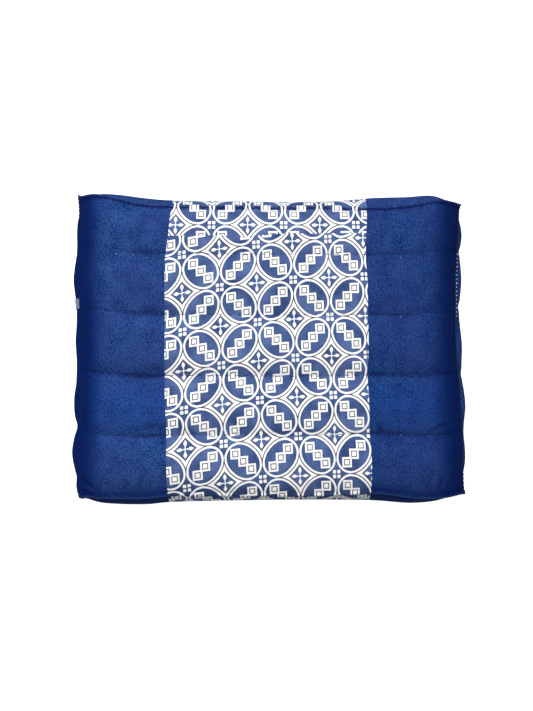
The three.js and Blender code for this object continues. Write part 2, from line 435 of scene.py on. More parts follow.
class CoverGrid:
    """The closed grid of the cover before it is filled: its points, faces, and what each face is cut from."""

    def __init__(self):
        self.length, self.across = grid_shares()
        self.columns, self.rows = (size - 1 for size in self.length.shape)
        self.top = np.arange(self.length.size).reshape(self.length.shape)
        self.bottom = self.top + self.length.size
        self.rim = self.rim_places()
        self.lay_points()
        self.faces, self.parts = [], []
        self.lay_faces()

    def rim_places(self):
        """Grid places round the rim, against the clock from the near left corner."""
        near = [(i, 0) for i in range(self.columns)]
        right = [(self.columns, j) for j in range(self.rows)]
        far = [(i, self.rows) for i in range(self.columns, 0, -1)]
        left = [(0, j) for j in range(self.rows, 0, -1)]
        return tuple(np.array(near + right + far + left).T)

    def lay_points(self):
        """Panels first, then the wall's rings, all in millimetres from the cushion's middle."""
        x, y = plan_point(self.length, self.across)
        heights = [panel_height(top, self.length, self.across) for top in (True, False)]
        points = np.concatenate([np.stack([x, y, z], axis=-1) for z in heights]).reshape(-1, 3)
        rim_length, rim_across = self.length[self.rim], self.across[self.rim]
        top_rim, bottom_rim = self.top[self.rim], self.bottom[self.rim]
        points[top_rim] = wall_point(rim_length, rim_across, 1.0)
        points[bottom_rim] = wall_point(rim_length, rim_across, -1.0)
        walls = [wall_point(rim_length, rim_across, 2 * k / WALL_LEVELS - 1) for k in range(1, WALL_LEVELS)]
        between = len(points) + np.arange(len(walls) * len(top_rim)).reshape(len(walls), -1)
        self.rings = [bottom_rim, *between, top_rim]
        self.points = np.concatenate([points, *walls])
        self.points[:, :2] -= MIDDLE
        self.pull_ears()

    def pull_ears(self):
        """Draws the top seam out at the corners, and the wall below it less and less."""
        seam = self.points[self.rings[-1]]
        for x, y, spread, *pull in zip(*EARS.values()):
            away = np.hypot(seam[:, 0] - x, seam[:, 1] - y)
            for ring, share in zip(self.rings, np.linspace(0, 1, len(self.rings))):
                self.points[ring] += share * bell(away, spread)[:, None] * np.array(pull)

    def lay_faces(self):
        """Quads that face outwards, each with the name of the panel that it is cut from."""
        for grid, name in ((self.top, "top"), (self.bottom, "bottom")):
            a, b = grid[:-1, :-1].ravel(), grid[1:, :-1].ravel()
            c, d = grid[1:, 1:].ravel(), grid[:-1, 1:].ravel()
            quads = np.column_stack([a, b, c, d] if name == "top" else [a, d, c, b])
            column = np.repeat(np.arange(self.columns), self.rows)
            self.add_faces(quads, name, (column >= END_COLUMNS) & (column < END_COLUMNS + BAND_COLUMNS))
        i, j = self.rim
        after_i, after_j = np.roll(i, -1), np.roll(j, -1)
        names = np.where(i + after_i > self.columns, "right", "left")
        names = np.where((j == self.rows) & (after_j == self.rows), "far", names)
        names = np.where((j == 0) & (after_j == 0), "near", names)
        first = np.minimum(i, after_i)
        in_band = (first >= END_COLUMNS) & (first < END_COLUMNS + BAND_COLUMNS)
        for lower, upper in zip(self.rings[:-1], self.rings[1:]):
            quads = np.column_stack([lower, np.roll(lower, -1), np.roll(upper, -1), upper])
            self.add_faces(quads, names, in_band)
        self.faces = np.concatenate(self.faces)
        self.parts = {key: np.concatenate([part[key] for part in self.parts]) for key in ("panel", "band")}

    def add_faces(self, quads, panel, in_band):
        """Keeps some quads, with the panel that each belongs to and whether it lies in the band."""
        self.faces.append(quads)
        self.parts.append({"panel": np.broadcast_to(panel, len(quads)), "band": in_band})

    def drop(self):
        """How far below the top seam each point lies, measured over the wall's cloth."""
        drop = np.zeros(len(self.points))
        for upper, lower in zip(self.rings[::-1][:-1], self.rings[::-1][1:]):
            drop[lower] = drop[upper] + np.linalg.norm(self.points[lower] - self.points[upper], axis=1)
        return drop

    def flat_places(self):
        """Where each corner of each face lies on the flat cloth, unfolded outwards from the top seam."""
        flat = self.points[:, :2].copy()
        for ring in self.rings:
            flat[ring] = self.points[self.rings[-1]][:, :2]
        drop = self.drop()
        corners = flat[self.faces]
        down = drop[self.faces]
        ways = {"near": (0, -1), "far": (0, 1), "left": (-1, 0), "right": (1, 0)}
        for name, (way_x, way_y) in ways.items():
            on = self.parts["panel"] == name
            corners[on, :, 0] += way_x * down[on]
            corners[on, :, 1] += way_y * down[on]
        below = self.parts["panel"] == "bottom"
        corners[below] = self.points[:, :2][self.faces[below]]
        return corners

    def facts(self):
        """What the relief needs to know of each point, in millimetres; facing is 1 on top and -1 below."""
        length, across = self.length.ravel(), self.across.ravel()
        from_end, from_near, from_far = seam_distances(length, across)
        from_side = np.minimum(from_near, from_far)
        facts = np.zeros((4, len(self.points)))
        for grid, facing in ((self.top, 1), (self.bottom, -1)):
            facts[:, grid.ravel()] = from_end, from_side, across * TOTAL_WIDTH, np.full_like(across, facing)
        rim_length, rim_across = self.length[self.rim], self.across[self.rim] * TOTAL_WIDTH
        rim_end = np.minimum(rim_length, 1 - rim_length) * NOMINAL_LENGTH
        rim_side = np.minimum(rim_across, TOTAL_WIDTH - rim_across)
        for k, ring in enumerate(self.rings):
            facts[:, ring] = rim_end, rim_side, rim_across, np.full_like(rim_across, 2 * k / WALL_LEVELS - 1)
        named = dict(zip(("from_end", "from_side", "across", "facing"), facts))
        return named | {"drop": self.drop(), "flat_x": self.points[:, 0], "flat_y": self.points[:, 1]}


def mesh_object(name, points, faces, edges=()):
    """A new object in the scene with a mesh of these points and faces, or edges."""
    mesh = bpy.data.meshes.new(name)
    mesh.from_pydata([tuple(point) for point in points], edges, [tuple(face) for face in faces])
    mesh.update()
    piece = bpy.data.objects.new(name, mesh)
    bpy.context.scene.collection.objects.link(piece)
    return piece


def read(items, name, size=3):
    """A named value of each of a mesh's points, as an array with a row for each."""
    values = np.empty(len(items) * size)
    items.foreach_get(name, values)
    return values.reshape(-1, size)


def point_places(mesh):
    """The places of a mesh's points."""
    return read(mesh.vertices, "co")


def point_normals(mesh):
    """The normals at a mesh's points."""
    return read(mesh.vertex_normals, "vector")


def fact_of(mesh, name):
    """A named number at each point of a mesh."""
    return read(mesh.attributes[name].data, "value", 1)[:, 0]


def keep_facts(mesh, name, values):
    """Keeps a named number at each point of a mesh."""
    if name not in mesh.attributes:
        mesh.attributes.new(name, "FLOAT", "POINT")
    mesh.attributes[name].data.foreach_set("value", np.asarray(values, dtype=np.float32))


def finished_mesh(piece):
    """The mesh that an object's modifiers make, on its own."""
    bpy.context.view_layer.update()
    depsgraph = bpy.context.evaluated_depsgraph_get()
    return bpy.data.meshes.new_from_object(piece.evaluated_get(depsgraph), depsgraph=depsgraph)


# How the cover's cotton behaves while the cloth simulation fills it
COTTON = {
    "quality": 6,
    "mass": 0.3,
    "tension_stiffness": 25,
    "compression_stiffness": 25,
    "shear_stiffness": 8,
    "bending_stiffness": 0.6,
    "use_pressure": True,
    "vertex_group_mass": "held",
}
HELD_WITHIN = 0.5


def held_points(grid, facts):
    """Whether the stitching or the floor holds each point while the cover fills."""
    _, from_line = nearest_line(facts["across"])
    from_stitching = np.minimum(from_line, np.minimum(facts["from_end"], facts["from_side"]))
    held = (facts["facing"] == 1) & (from_stitching < HELD_WITHIN) | (facts["facing"] == -1)
    held[grid.rings[-1]] = True
    return held


def fill_with_kapok(piece, grid, settings):
    """Inflates the sewn cover with a cloth simulation that is held at its seams and quilting lines."""
    facts = grid.facts()
    pins = piece.vertex_groups.new(name="held")
    pins.add(np.flatnonzero(held_points(grid, facts)).tolist(), 1.0, "REPLACE")
    cloth = piece.modifiers.new("Kapok filling", "CLOTH")
    for name, value in COTTON.items():
        setattr(cloth.settings, name, value)
    cloth.settings.uniform_pressure_force = settings.pressure
    cloth.settings.effector_weights.gravity = 0
    cloth.point_cache.frame_start = 1
    cloth.point_cache.frame_end = settings.frames
    scene = bpy.context.scene
    for number in range(1, settings.frames + 1):
        scene.frame_set(number)
    filled = finished_mesh(piece)
    moved = point_places(filled) - point_places(piece.data)
    bpy.data.meshes.remove(filled)
    scene.frame_set(1)
    piece.modifiers.remove(cloth)
    piece.vertex_groups.clear()
    most = np.where(facts["facing"] == 1, settings.most_top_swell, settings.most_wall_swell)
    moved *= (most / np.maximum(np.linalg.norm(moved, axis=1), most))[:, None]
    move_points(piece.data, moved)


def move_points(mesh, moved):
    """Moves a mesh's points by an array of steps in metres, but none below the floor."""
    places = point_places(mesh) + moved
    places[:, 2] = np.maximum(places[:, 2], 0)
    mesh.vertices.foreach_set("co", places.ravel())
    mesh.update()


def fold_relief(x, y):
    """The named folds, as a height over the top of the cover."""
    height = np.zeros_like(x)
    for fold_x, fold_y, angle, length, width, depth in zip(*FOLDS.values()):
        turn = math.radians(angle)
        along = (x - fold_x) * math.cos(turn) + (y - fold_y) * math.sin(turn)
        beside = (y - fold_y) * math.cos(turn) - (x - fold_x) * math.sin(turn)
        bend = beside + 0.04 * along**2 / width
        valley = bell(bend, width) - 0.45 * bell(np.abs(bend) - 2 * width, width)
        height -= depth * bell(along, length / 2) * valley
    return height


def quilting_pull(x, y):
    """How tightly the quilting is drawn: most beside the band's seams, and uneven along the line."""
    left, right = band_edges(y)
    beside_band = np.maximum(bell(left - 8 - x, 24), bell(x - right - 8, 24)) * ((x < left) | (x > right))
    pull = np.clip(0.35 + 0.65 * beside_band + 0.3 * soft_noise(x / 16, y / 30, 41), 0, 1)
    eased_by_corner = np.clip((-122 - x) / 30, 0, 1) * (y < -60)
    return pull * (1 - 0.8 * eased_by_corner)


def gathers(along, away, fine_steps, seeds):
    """Uneven pleats that run away from a seam, as coarse and fine noise along it."""
    coarse_step, fine_step, start = fine_steps
    fine = soft_noise(along / fine_step + start, away / 20, seeds[1])
    return soft_noise(along / coarse_step, away / 30, seeds[0]) + 0.6 * fine


# How far the painted shadow line inside the seam shows, with the dark of the overcast thread, and how far the
# ridge is paled by rubbing and painted lighter as a highlight: on the far side, the near side and the right
# end
SEAM_SHADOW_LINE = {"far": 0.8, "near": 0.1, "right": 0.4}
RUBBED_AND_HIGHLIT = {"far": 0.2, "near": 0.85, "right": 0.5}

# Painted shade at the ends and on the walls, and where its dye took best, in millimetres
PAINTED_END_SHADE = {"start": 7, "left": 27, "right": 36, "right_top": 0.25, "right_wall": 0.15, "near_wall": 0.75}
ROYAL = {"y": -58, "width": 24}


class Relief:
    """The cover's fine shape, in millimetres along the normal at each point, and the wear, painted shade and
    painted highlights that its cloth takes.
    """

    def __init__(self, facts, settings):
        self.settings = settings
        self.x, self.y, facing = facts["flat_x"], facts["flat_y"], facts["facing"]
        self.from_end, self.from_side = facts["from_end"], facts["from_side"]
        self.from_seam = np.minimum(self.from_end, self.from_side)
        self.below_seam = facts["drop"]
        self.line, self.from_line = nearest_line(facts["across"])
        self.line_depth = CHANNELS["crease"][self.line] / CHANNELS["crease"].max()
        self.across = facts["across"] / TOTAL_WIDTH
        self.top = np.clip(facing, 0, 1) ** 8
        self.wall = 1 - np.abs(facing) ** 8
        self.on_top = facing > 0.99
        self.shown = facing > -0.9
        self.pull = quilting_pull(self.x, self.y)
        self.folds = fold_relief(self.x, self.y)
        self.past_join = self.y - np.interp(self.x, PRINT_JOIN["x"], PRINT_JOIN["y"])
        self.on_ridge = bell(np.where(self.wall > 0, self.below_seam, self.from_seam), 1.0)

    def height(self):
        """How far each point moves outwards."""
        parts = (self.seams, self.puckers, self.quilting, self.band, self.wall_dents, self.ties, self.lumps)
        return sum(part() for part in parts) + self.top * self.folds

    def seams(self):
        """The seams' ridge and the groove on each side of it, softer on the near side and at the ends."""
        at_end = bell(self.from_end, 12)
        far_side = np.clip(self.across * 3 - 1, 0, 1)
        ridge = self.on_ridge * (1 - 0.5 * at_end) * mix(0.5, 1.0, far_side)
        inside = self.top * bell(self.from_seam - 2.2, 1.0) * (1 - 0.7 * at_end) * mix(0.35, 1.0, far_side)
        below = 0.35 * self.wall * bell(self.below_seam - 2.6, 1.4)
        return self.settings.ridge * ridge - self.settings.seam_groove * (inside + below)

    def puckers(self):
        """Gathers that run away from the seams, over the panels and down the wall."""
        by_side = gathers(self.x, self.from_side, (5.5, 2.8, 7), (11, 12))
        by_end = gathers(self.y, self.from_end, (6.0, 3.1, 5), (13, 14))
        over = by_side * np.exp(-self.from_side / 8) + by_end * np.exp(-self.from_end / 10)
        down = np.where(self.from_side < self.from_end, by_side, by_end) * np.exp(-self.below_seam / 9)
        on_top = self.top * (1 - bell(self.from_seam, 2.0)) * over
        return self.settings.pucker * (on_top + 0.8 * self.wall * (1 - self.on_ridge) * down)

    def quilting(self):
        """The groove of each quilting line and the gathers on both sides of it."""
        groove = self.settings.line_groove * self.line_depth * bell(self.from_line, 1.3) * self.pull
        coarse = soft_noise(self.x / 7.0, self.line * 9.7, 21)
        fine = soft_noise(self.x / 3.6, self.line * 5.3, 22)
        beside = np.exp(-self.from_line / 6) * (1 - bell(self.from_line, 1.0))
        gathered = 1.1 * self.settings.pucker * (0.35 + self.line_depth) * (coarse + 0.7 * fine) * beside
        return self.top * (gathered - groove)

    def band(self):
        """The sunk seams of the printed band, and the join between its two offcuts."""
        left, right = band_edges(self.y)
        from_edge = np.minimum(np.abs(self.x - left), np.abs(self.x - right))
        join = np.abs(self.past_join)
        raised = np.exp(-join / 5) * (1 - bell(join, 1.0)) * soft_noise(self.x / 5.0, self.y / 40, 23)
        on_join = self.top * (self.x > left) * (self.x < right)
        return on_join * (0.3 * raised - 0.5 * bell(join, 1.1)) - 0.35 * self.shown * bell(from_edge, 1.2)

    def wall_dents(self):
        """The named dents of the walls at the two ends."""
        height = np.zeros_like(self.x)
        on_end = self.wall * (self.from_end < self.from_side) * np.clip(self.below_seam / 6, 0, 1)
        for right_end, dent_y, width, depth in zip(*WALL_DENTS.values()):
            height -= depth * on_end * ((self.x > 0) == bool(right_end)) * bell(self.y - dent_y, width)
        return height

    def ties(self):
        """The dimples where the quilting is tied off."""
        dimples = [depth * bell(np.hypot(self.x - x, self.y - y), 3.2) for x, y, depth in zip(*TIES.values())]
        return -self.top * sum(dimples)

    def lumps(self):
        """The slight unevenness of the filling."""
        uneven = soft_noise(self.x / 23, self.y / 17 + 3, 31)
        return 0.45 * self.shown * uneven * (1 - bell(self.from_seam, 6))

    def marks(self):
        """What the cloth's materials need to know at each point."""
        far, right = self.across > 0.5, self.x > 0
        by_end = np.clip(0.5 + (self.from_side - self.from_end) / 8, 0, 1)
        right_end = right * np.clip((self.y + 90) / 60, 0.25, 1)
        # painted shade in the quilting lines and the pulled folds
        in_line = bell(self.from_line, 1.6) * self.pull * (0.15 + 0.85 * self.line_depth)
        in_fold = 0.6 * np.clip(-self.folds, 0, 1)
        off_top = np.where(self.y > 0, 20, -20)

        def along_seams(amounts):
            by_side = np.where(far, amounts["far"], amounts["near"])
            return mix(by_side, amounts["right"] * right_end, by_end)

        return {
            "seam_gap": np.where(self.on_top, self.from_seam, -self.below_seam),
            # painted shadow line inside the seam
            "seam_shadow_line": along_seams(SEAM_SHADOW_LINE),
            # the ridge paled by rubbing and painted lighter as a highlight, most on the near side
            "rubbed_and_highlit": along_seams(RUBBED_AND_HIGHLIT),
            "fold_shade": self.top * np.maximum(in_line, in_fold),
            "royal": self.top * bell(self.y - ROYAL["y"], ROYAL["width"]),
            # painted shade along the near edge of the top
            "near_edge_shade": self.on_top * (1 - far) * bell(self.from_side, 7),
            # painted shade: darker towards the ends, on the near wall and a little on the right
            "painted_end_shade": self.painted_end_shade(far, right, by_end),
            "past_join": np.where(self.on_top, self.past_join, off_top),
        }

    def painted_end_shade(self, far, right, by_end):
        """Painted shade over the cloth: most at the ends, some on the near wall, a little on the right."""
        width = np.where(right, PAINTED_END_SHADE["right"], PAINTED_END_SHADE["left"])
        reach = np.clip((self.from_end - PAINTED_END_SHADE["start"]) / width, 0, 1)
        over_top = np.maximum(1 - reach**2 * (3 - 2 * reach), PAINTED_END_SHADE["right_top"] * right)
        side_wall = PAINTED_END_SHADE["near_wall"] * ~far
        on_wall = mix(side_wall, np.where(right, PAINTED_END_SHADE["right_wall"], 1.0), by_end)
        return np.where(self.on_top, over_top, on_wall)


# Materials


def fill_socket(tree, socket, value):
    """Links a node's socket to another socket or to a Value, or sets it to a plain value."""
    value = value.socket if isinstance(value, Value) else value
    if isinstance(value, bpy.types.NodeSocket):
        tree.links.new(value, socket)
    else:
        socket.default_value = value


def add_node(tree, kind, settings=None, inputs=()):
    """Adds a node, sets it up, and fills its sockets, which are given in order or by name."""
    node = tree.nodes.new(kind)
    for name, value in (settings or {}).items():
        setattr(node, name, value)
    for key, value in inputs.items() if isinstance(inputs, dict) else enumerate(inputs):
        fill_socket(tree, node.inputs[key], value)
    return node


class Value:
    """A number inside a material. Python's operators on it add Math nodes."""

    def __init__(self, finish, socket):
        self.finish = finish
        self.socket = socket

    def math(self, operation, *others, clamp=False):
        """A Math node that works on this number and up to two others."""
        settings = {"operation": operation, "use_clamp": clamp}
        return self.finish.value("ShaderNodeMath", settings, [self, *others])

    __add__ = __radd__ = partialmethod(math, "ADD")
    __sub__ = partialmethod(math, "SUBTRACT")
    __rsub__ = partialmethod(math, "MULTIPLY_ADD", -1.0)
    __mul__ = __rmul__ = partialmethod(math, "MULTIPLY")
    __truediv__ = partialmethod(math, "DIVIDE")
    __pow__ = partialmethod(math, "POWER")
    __abs__ = partialmethod(math, "ABSOLUTE")
    least = partialmethod(math, "MINIMUM")
    most = partialmethod(math, "MAXIMUM")

    def inside(self, softness):
        """1 where the number is above nothing and 0 below it, with a soft edge."""
        return self.math("MULTIPLY_ADD", 1 / softness, 0.5, clamp=True)


class Finish:
    """A material that is being made, and the nodes that it is made of."""

    def __init__(self, name):
        self.material = bpy.data.materials.new(name)
        self.material.use_nodes = True
        self.tree = self.material.node_tree
        self.shader = self.tree.nodes["Principled BSDF"]

    def value(self, kind, settings=None, inputs=(), output=0):
        """What a new node gives."""
        return Value(self, add_node(self.tree, kind, settings, inputs).outputs[output])

    def coordinates(self, place):
        """The three coordinates of a place."""
        parts = add_node(self.tree, "ShaderNodeSeparateXYZ", None, [place])
        return [Value(self, part) for part in parts.outputs]

    def place(self, layer):
        """The two coordinates of a named UV map."""
        return self.coordinates(self.value("ShaderNodeUVMap", {"uv_map": layer}))[:2]

    def object_place(self):
        """The three coordinates in the object's own frame."""
        return self.coordinates(self.value("ShaderNodeTexCoord", output="Object"))

    def fact(self, name):
        """A number that the mesh keeps at its points."""
        return self.value("ShaderNodeAttribute", {"attribute_name": name}, output="Fac")

    def noise(self, place, kind, start=0.0):
        """Soft noise of a kind over the cloth, around one half."""
        lumps_x, lumps_y, detail = kind
        u, v = place
        place = self.value("ShaderNodeCombineXYZ", None, [u * lumps_x + start, v * lumps_y])
        inputs = {"Vector": place, "Scale": 1.0, "Detail": detail}
        return self.value("ShaderNodeTexNoise", {"noise_dimensions": "2D"}, inputs)

    def blend(self, factor, first, second):
        """One colour mixed with another, each of them a Value or the red, green and blue of a setting."""
        first, second = (end if isinstance(end, Value) else (*end[:3], 1.0) for end in (first, second))
        return self.value("ShaderNodeMix", {"data_type": "RGBA"}, {0: factor, 6: first, 7: second}, 2)

    def choose(self, factor, first, second):
        """One number mixed with another."""
        return self.value("ShaderNodeMix", {"data_type": "FLOAT"}, {0: factor, 2: first, 3: second})

    def surface(self, colour, roughness, height, depth):
        """Feeds the shader, with relief of a depth in metres."""
        relief = self.value("ShaderNodeBump", None, {"Strength": 1.0, "Distance": depth, "Height": height})
        self.feed({"Base Color": colour, "Roughness": roughness, "Normal": relief})
        self.feed({"Specular IOR Level": COTTON_SHINE})
        return self.material

    def feed(self, inputs):
        """Fills the shader's sockets."""
        for name, value in inputs.items():
            fill_socket(self.tree, self.shader.inputs[name], value)


def light_of(red, green, blue):
    """A colour as it reads on a screen, from 0 to 255, as the amounts of light that a shader takes."""
    shares = [value / 255 for value in (red, green, blue)]
    return tuple(((s + 0.055) / 1.055) ** 2.4 if s > 0.04045 else s / 12.92 for s in shares) + (1.0,)


COTTON_SHINE = 0.02

# Unevenness of the cotton: lumps in a metre along the cushion and across it, and how fine their detail is
SLUBS = (900, 260, 3.0)
GRAIN = (700, 580, 2.0)
MOTTLE = (75, 60, 3.0)
DYE = (17, 14, 2.0)
PRINT_RAGGED = (260, 260, 2.0)
PRINT_GRAIN = (700, 700, 2.0)
PRINT_DYE = (45, 45, 2.0)
SEAM_TEETH = (420, 420, 1.0)


def ribs(place, pitch):
    """Even ribs a pitch in metres apart, from 0 to 1."""
    return (place * (2 * math.pi / pitch)).math("SINE") * 0.5 + 0.5


def weave_height(cloth, pitch):
    """The over and under of a plain weave whose threads are a pitch in metres apart."""
    u, v = cloth
    turn = math.pi / pitch
    return (u * turn).math("SINE") * (v * turn).math("SINE") * 0.5 + 0.5


def seam_marks(finish, cloth):
    """Where the seam's ridge is paled by rubbing and painted lighter as a highlight, and the toothed line
    just inside it, painted shadow with the dark of the overcast thread.
    """
    gap = finish.fact("seam_gap")
    tooth = finish.noise(cloth, SEAM_TEETH) - 0.5
    # the ridge paled by rubbing and painted lighter as a highlight
    ridge = (0.6 - abs(gap)).inside(0.8) * finish.fact("rubbed_and_highlit")
    # painted shadow inside the seam's ridge, with the dark of the overcast thread
    line = (0.62 - abs(gap - 1.3 + tooth * 1.6)).inside(0.5) * finish.fact("seam_shadow_line")
    return ridge, line


def blue_cotton(colours):
    """Plain slubbed cotton: uneven threads, a mottled dye, a seam ridge paled by rubbing and painted lighter
    as a highlight, and painted shade at the ends, on the near wall and edge, in the quilting and folds, and
    as a line inside the seam.
    """
    finish = Finish("Blue slubbed cotton")
    cloth = finish.place("cloth")
    slubs, grain, mottle = (finish.noise(cloth, kind) for kind in (SLUBS, GRAIN, MOTTLE))
    dye = finish.noise(cloth, DYE, start=3)
    shade = (slubs - 0.5) * 1.4 + (grain - 0.5) * 2.5 + (mottle - 0.5) + 0.5
    colour = finish.blend(shade, colours.deep, colours.light)
    violet = ((dye - 0.5) * 2.6 + 0.25).inside(1.0)
    colour = finish.blend(violet, colour, finish.blend(0.35, colour, colours.violet))
    colour = finish.blend(finish.fact("royal") * 0.5, colour, finish.blend(shade, colour, colours.royal))
    ridge, line = seam_marks(finish, cloth)
    for amount, tone in (
        # painted shade at the ends and on the near wall
        (finish.fact("painted_end_shade") * 0.9, colours.painted_shade_blue),
        # painted shade in the quilting lines and folds
        (finish.fact("fold_shade") * 0.65, colours.shade),
        # painted shade along the near edge
        (finish.fact("near_edge_shade") * 0.6, colours.painted_shade_blue),
        # ridge paled by rubbing and painted lighter as a highlight
        (ridge, colours.ridge_wear_and_highlight),
        # painted shadow line inside the seam
        (line, colours.shade),
    ):
        colour = finish.blend(amount, colour, tone)
    height = weave_height(cloth, 0.55 * MM) * 0.35 + slubs * 0.7 + grain * 0.35
    return finish.surface(colour, (mottle - 0.5) * 0.2 + 0.78, height, 0.4 * MM)


# Proportions of the printed repeat, as shares of its pitch; a line has a middle and half a width
OVAL = {"long_half": 0.534, "short_half": 0.423, "fullness": 2.1}
OVAL_LINE = {"middle": -0.0272, "half": 0.0268}
BORDER_LINE = {"middle": 0.0110, "half": 0.0128}
BORDER_START = 0.022
SQUARE = {"half": 0.130, "line": 0.0685, "line_half": 0.0132}
CHAIN_STEP = {"x": 0.202, "y": 0.208}
DIAMOND = {"reach": 0.304, "fullness": 0.92, "line_half": 0.0085}
PETAL = {"start": 0.060, "length": 0.170, "half": 0.045}
STEM = {"half": 0.0118, "length": 0.15}
DOT = {"middle": 0.060, "flat": 0.0255, "round": 0.0180}


def rounded_reach(across, up, fullness):
    """How far out a place lies in a shape between a diamond (1), an ellipse (2) and a box (more)."""
    return (across**fullness + up**fullness) ** (1 / fullness)


def motif_fields(column, row):
    """The printed repeat: fields that are above nothing inside its white shapes and its fine dark lines."""
    parity = (column.math("FLOOR") + row.math("FLOOR")).math("FLOORED_MODULO", 2.0)
    x = (column.math("FRACT") - 0.5) * (1 - parity * 2)
    y = row.math("FRACT") - 0.5
    along = (x + y) * math.sqrt(0.5)
    beside = (y - x) * math.sqrt(0.5)
    side, corner = along.math("SIGN"), beside.math("SIGN") * 0.5

    power = OVAL["fullness"] - 1
    along_part, beside_part = abs(along) / OVAL["long_half"], abs(beside) / OVAL["short_half"]
    reach = rounded_reach(along_part, beside_part, OVAL["fullness"])
    slope = rounded_reach(along_part**power / OVAL["long_half"], beside_part**power / OVAL["short_half"], 2)
    from_oval = reach**power * (reach - 1) / slope.most(0.05)
    white = OVAL_LINE["half"] - abs(from_oval - OVAL_LINE["middle"])

    chain = x - side * CHAIN_STEP["x"], y - side * CHAIN_STEP["y"]
    squares = [abs(square_x).most(abs(square_y)) for square_x, square_y in ((x, y), chain)]
    outlines = [SQUARE["line_half"] - abs(square - SQUARE["line"]) for square in squares]
    for square in squares:
        white = white.most(SQUARE["half"] - square)

    flower_x, flower_y = abs(x + corner), abs(y - corner)
    out = rounded_reach(flower_x / DIAMOND["reach"], flower_y / DIAMOND["reach"], DIAMOND["fullness"])
    diamond = (out - 1) * 0.2
    by_flower = abs(beside) - abs(along) * 0.6
    white = white.most((from_oval - BORDER_START).least(diamond).least(by_flower))
    border = (BORDER_LINE["half"] - abs(from_oval - BORDER_LINE["middle"])).least(by_flower)
    inner = DIAMOND["line_half"] - abs(diamond + DIAMOND["line_half"])
    lines = outlines[0].most(outlines[1]).most(border).most(inner)

    reach_out, half_across = flower_x.most(flower_y), flower_x.least(flower_y)
    part = ((reach_out - PETAL["start"]) / PETAL["length"]).most(0.0).least(1.0)
    petal = (part**1.1 * math.pi).math("SINE") * PETAL["half"] - half_across
    stem = (STEM["half"] - half_across).least(STEM["length"] - reach_out)
    white = white.most(petal.least(0.25 - diamond)).most(stem)

    dot_x, dot_y = (abs(abs(place - side * 0.5) - DOT["middle"]) - DOT["flat"] for place in (x, y))
    white = white.most(DOT["round"] - rounded_reach(dot_x.most(0.0), dot_y.most(0.0), 2))
    return white, lines


def printed_cotton(colours):
    """White cotton printed in blue: linked ovals round chains of squares, with flowers and dots between."""
    finish = Finish("Printed cotton")
    cloth = finish.place("cloth")
    far = finish.fact("past_join").inside(0.001)
    ragged = (finish.noise(cloth, PRINT_RAGGED) - 0.5) * 0.012
    near_place, far_place = finish.place("print"), finish.place("print_far")
    column, row = (finish.choose(far, near, beyond) + ragged for near, beyond in zip(near_place, far_place))
    white, lines = motif_fields(column, row)
    grain, dye = finish.noise(cloth, PRINT_GRAIN), finish.noise(cloth, PRINT_DYE)
    _, seam_shadow_line = seam_marks(finish, cloth)
    ink = finish.blend((dye - 0.5) * 1.6 + grain * 0.8, colours.ink_deep, colours.ink_light)
    rim = (0.011 - abs(white + 0.009)).inside(0.012)
    for amount, tone in (
        (rim * 0.4, colours.ink_rim_and_shade),
        # painted shade along the near edge, in the print's darker blue
        (finish.fact("near_edge_shade") * 0.6, colours.ink_rim_and_shade),
        # painted shadow line inside the seam
        (seam_shadow_line, colours.shade),
    ):
        ink = finish.blend(amount, ink, tone)
    ground = finish.blend(grain * 0.5, colours.ground, colours.ground_shade)
    colour = finish.blend(white.inside(0.014), ink, ground)
    colour = finish.blend(lines.inside(0.010) * 0.92, colour, colours.fine_line)
    # painted shade in the quilting lines and folds, and a little along the seam
    colour = finish.blend(finish.fact("fold_shade") * 0.2 + seam_shadow_line * 0.1, colour, colours.shade)
    height = weave_height(cloth, 0.5 * MM) * 0.4 + grain * 0.4
    return finish.surface(colour, (grain - 0.5) * 0.1 + 0.82, height, 0.3 * MM)


def sewing_thread(name, light, dark):
    """Twisted cotton thread."""
    finish = Finish(name)
    x, y, _ = finish.object_place()
    twist = (x * 6000 + y * 9000).math("SINE") * 0.5 + 0.5
    return finish.surface(finish.blend(twist, dark, light), twist * 0.1 + 0.7, twist, 0.1 * MM)


def tape_cotton(light, dark):
    """Plain cotton tape with a fine rib."""
    finish = Finish("Blank cotton tape")
    _, y, z = finish.object_place()
    rib, cross = ribs(y, 0.7 * MM), ribs(z, 0.5 * MM)
    colour = finish.blend(rib * 0.5 + cross * 0.3, dark, light)
    return finish.surface(colour, rib * 0.05 + 0.8, rib + cross * 0.5, 0.2 * MM)


# Stitches, as thread laid along a path by Geometry Nodes


STITCH_SIZES = ("Pitch", "Stitch Length", "Thread Radius", "Rise", "Slant", "Unevenness", "Seed")
SIZE_SPREAD = 0.6

# How the stitches of each piece lie: their rise, slant, unevenness and seed
STITCH_SHAPES = {
    "seam_stitches": (0.6 * MM, 0.5, 0.25, 4),
    "quilting_stitches": (0.5 * MM, 0.0, 0.1, 9),
    "tie_knots": (0.4 * MM, 0.0, 0.1, 9),
    "closing_stitches": (1.2 * MM, 0.55, 0.3, 2),
}


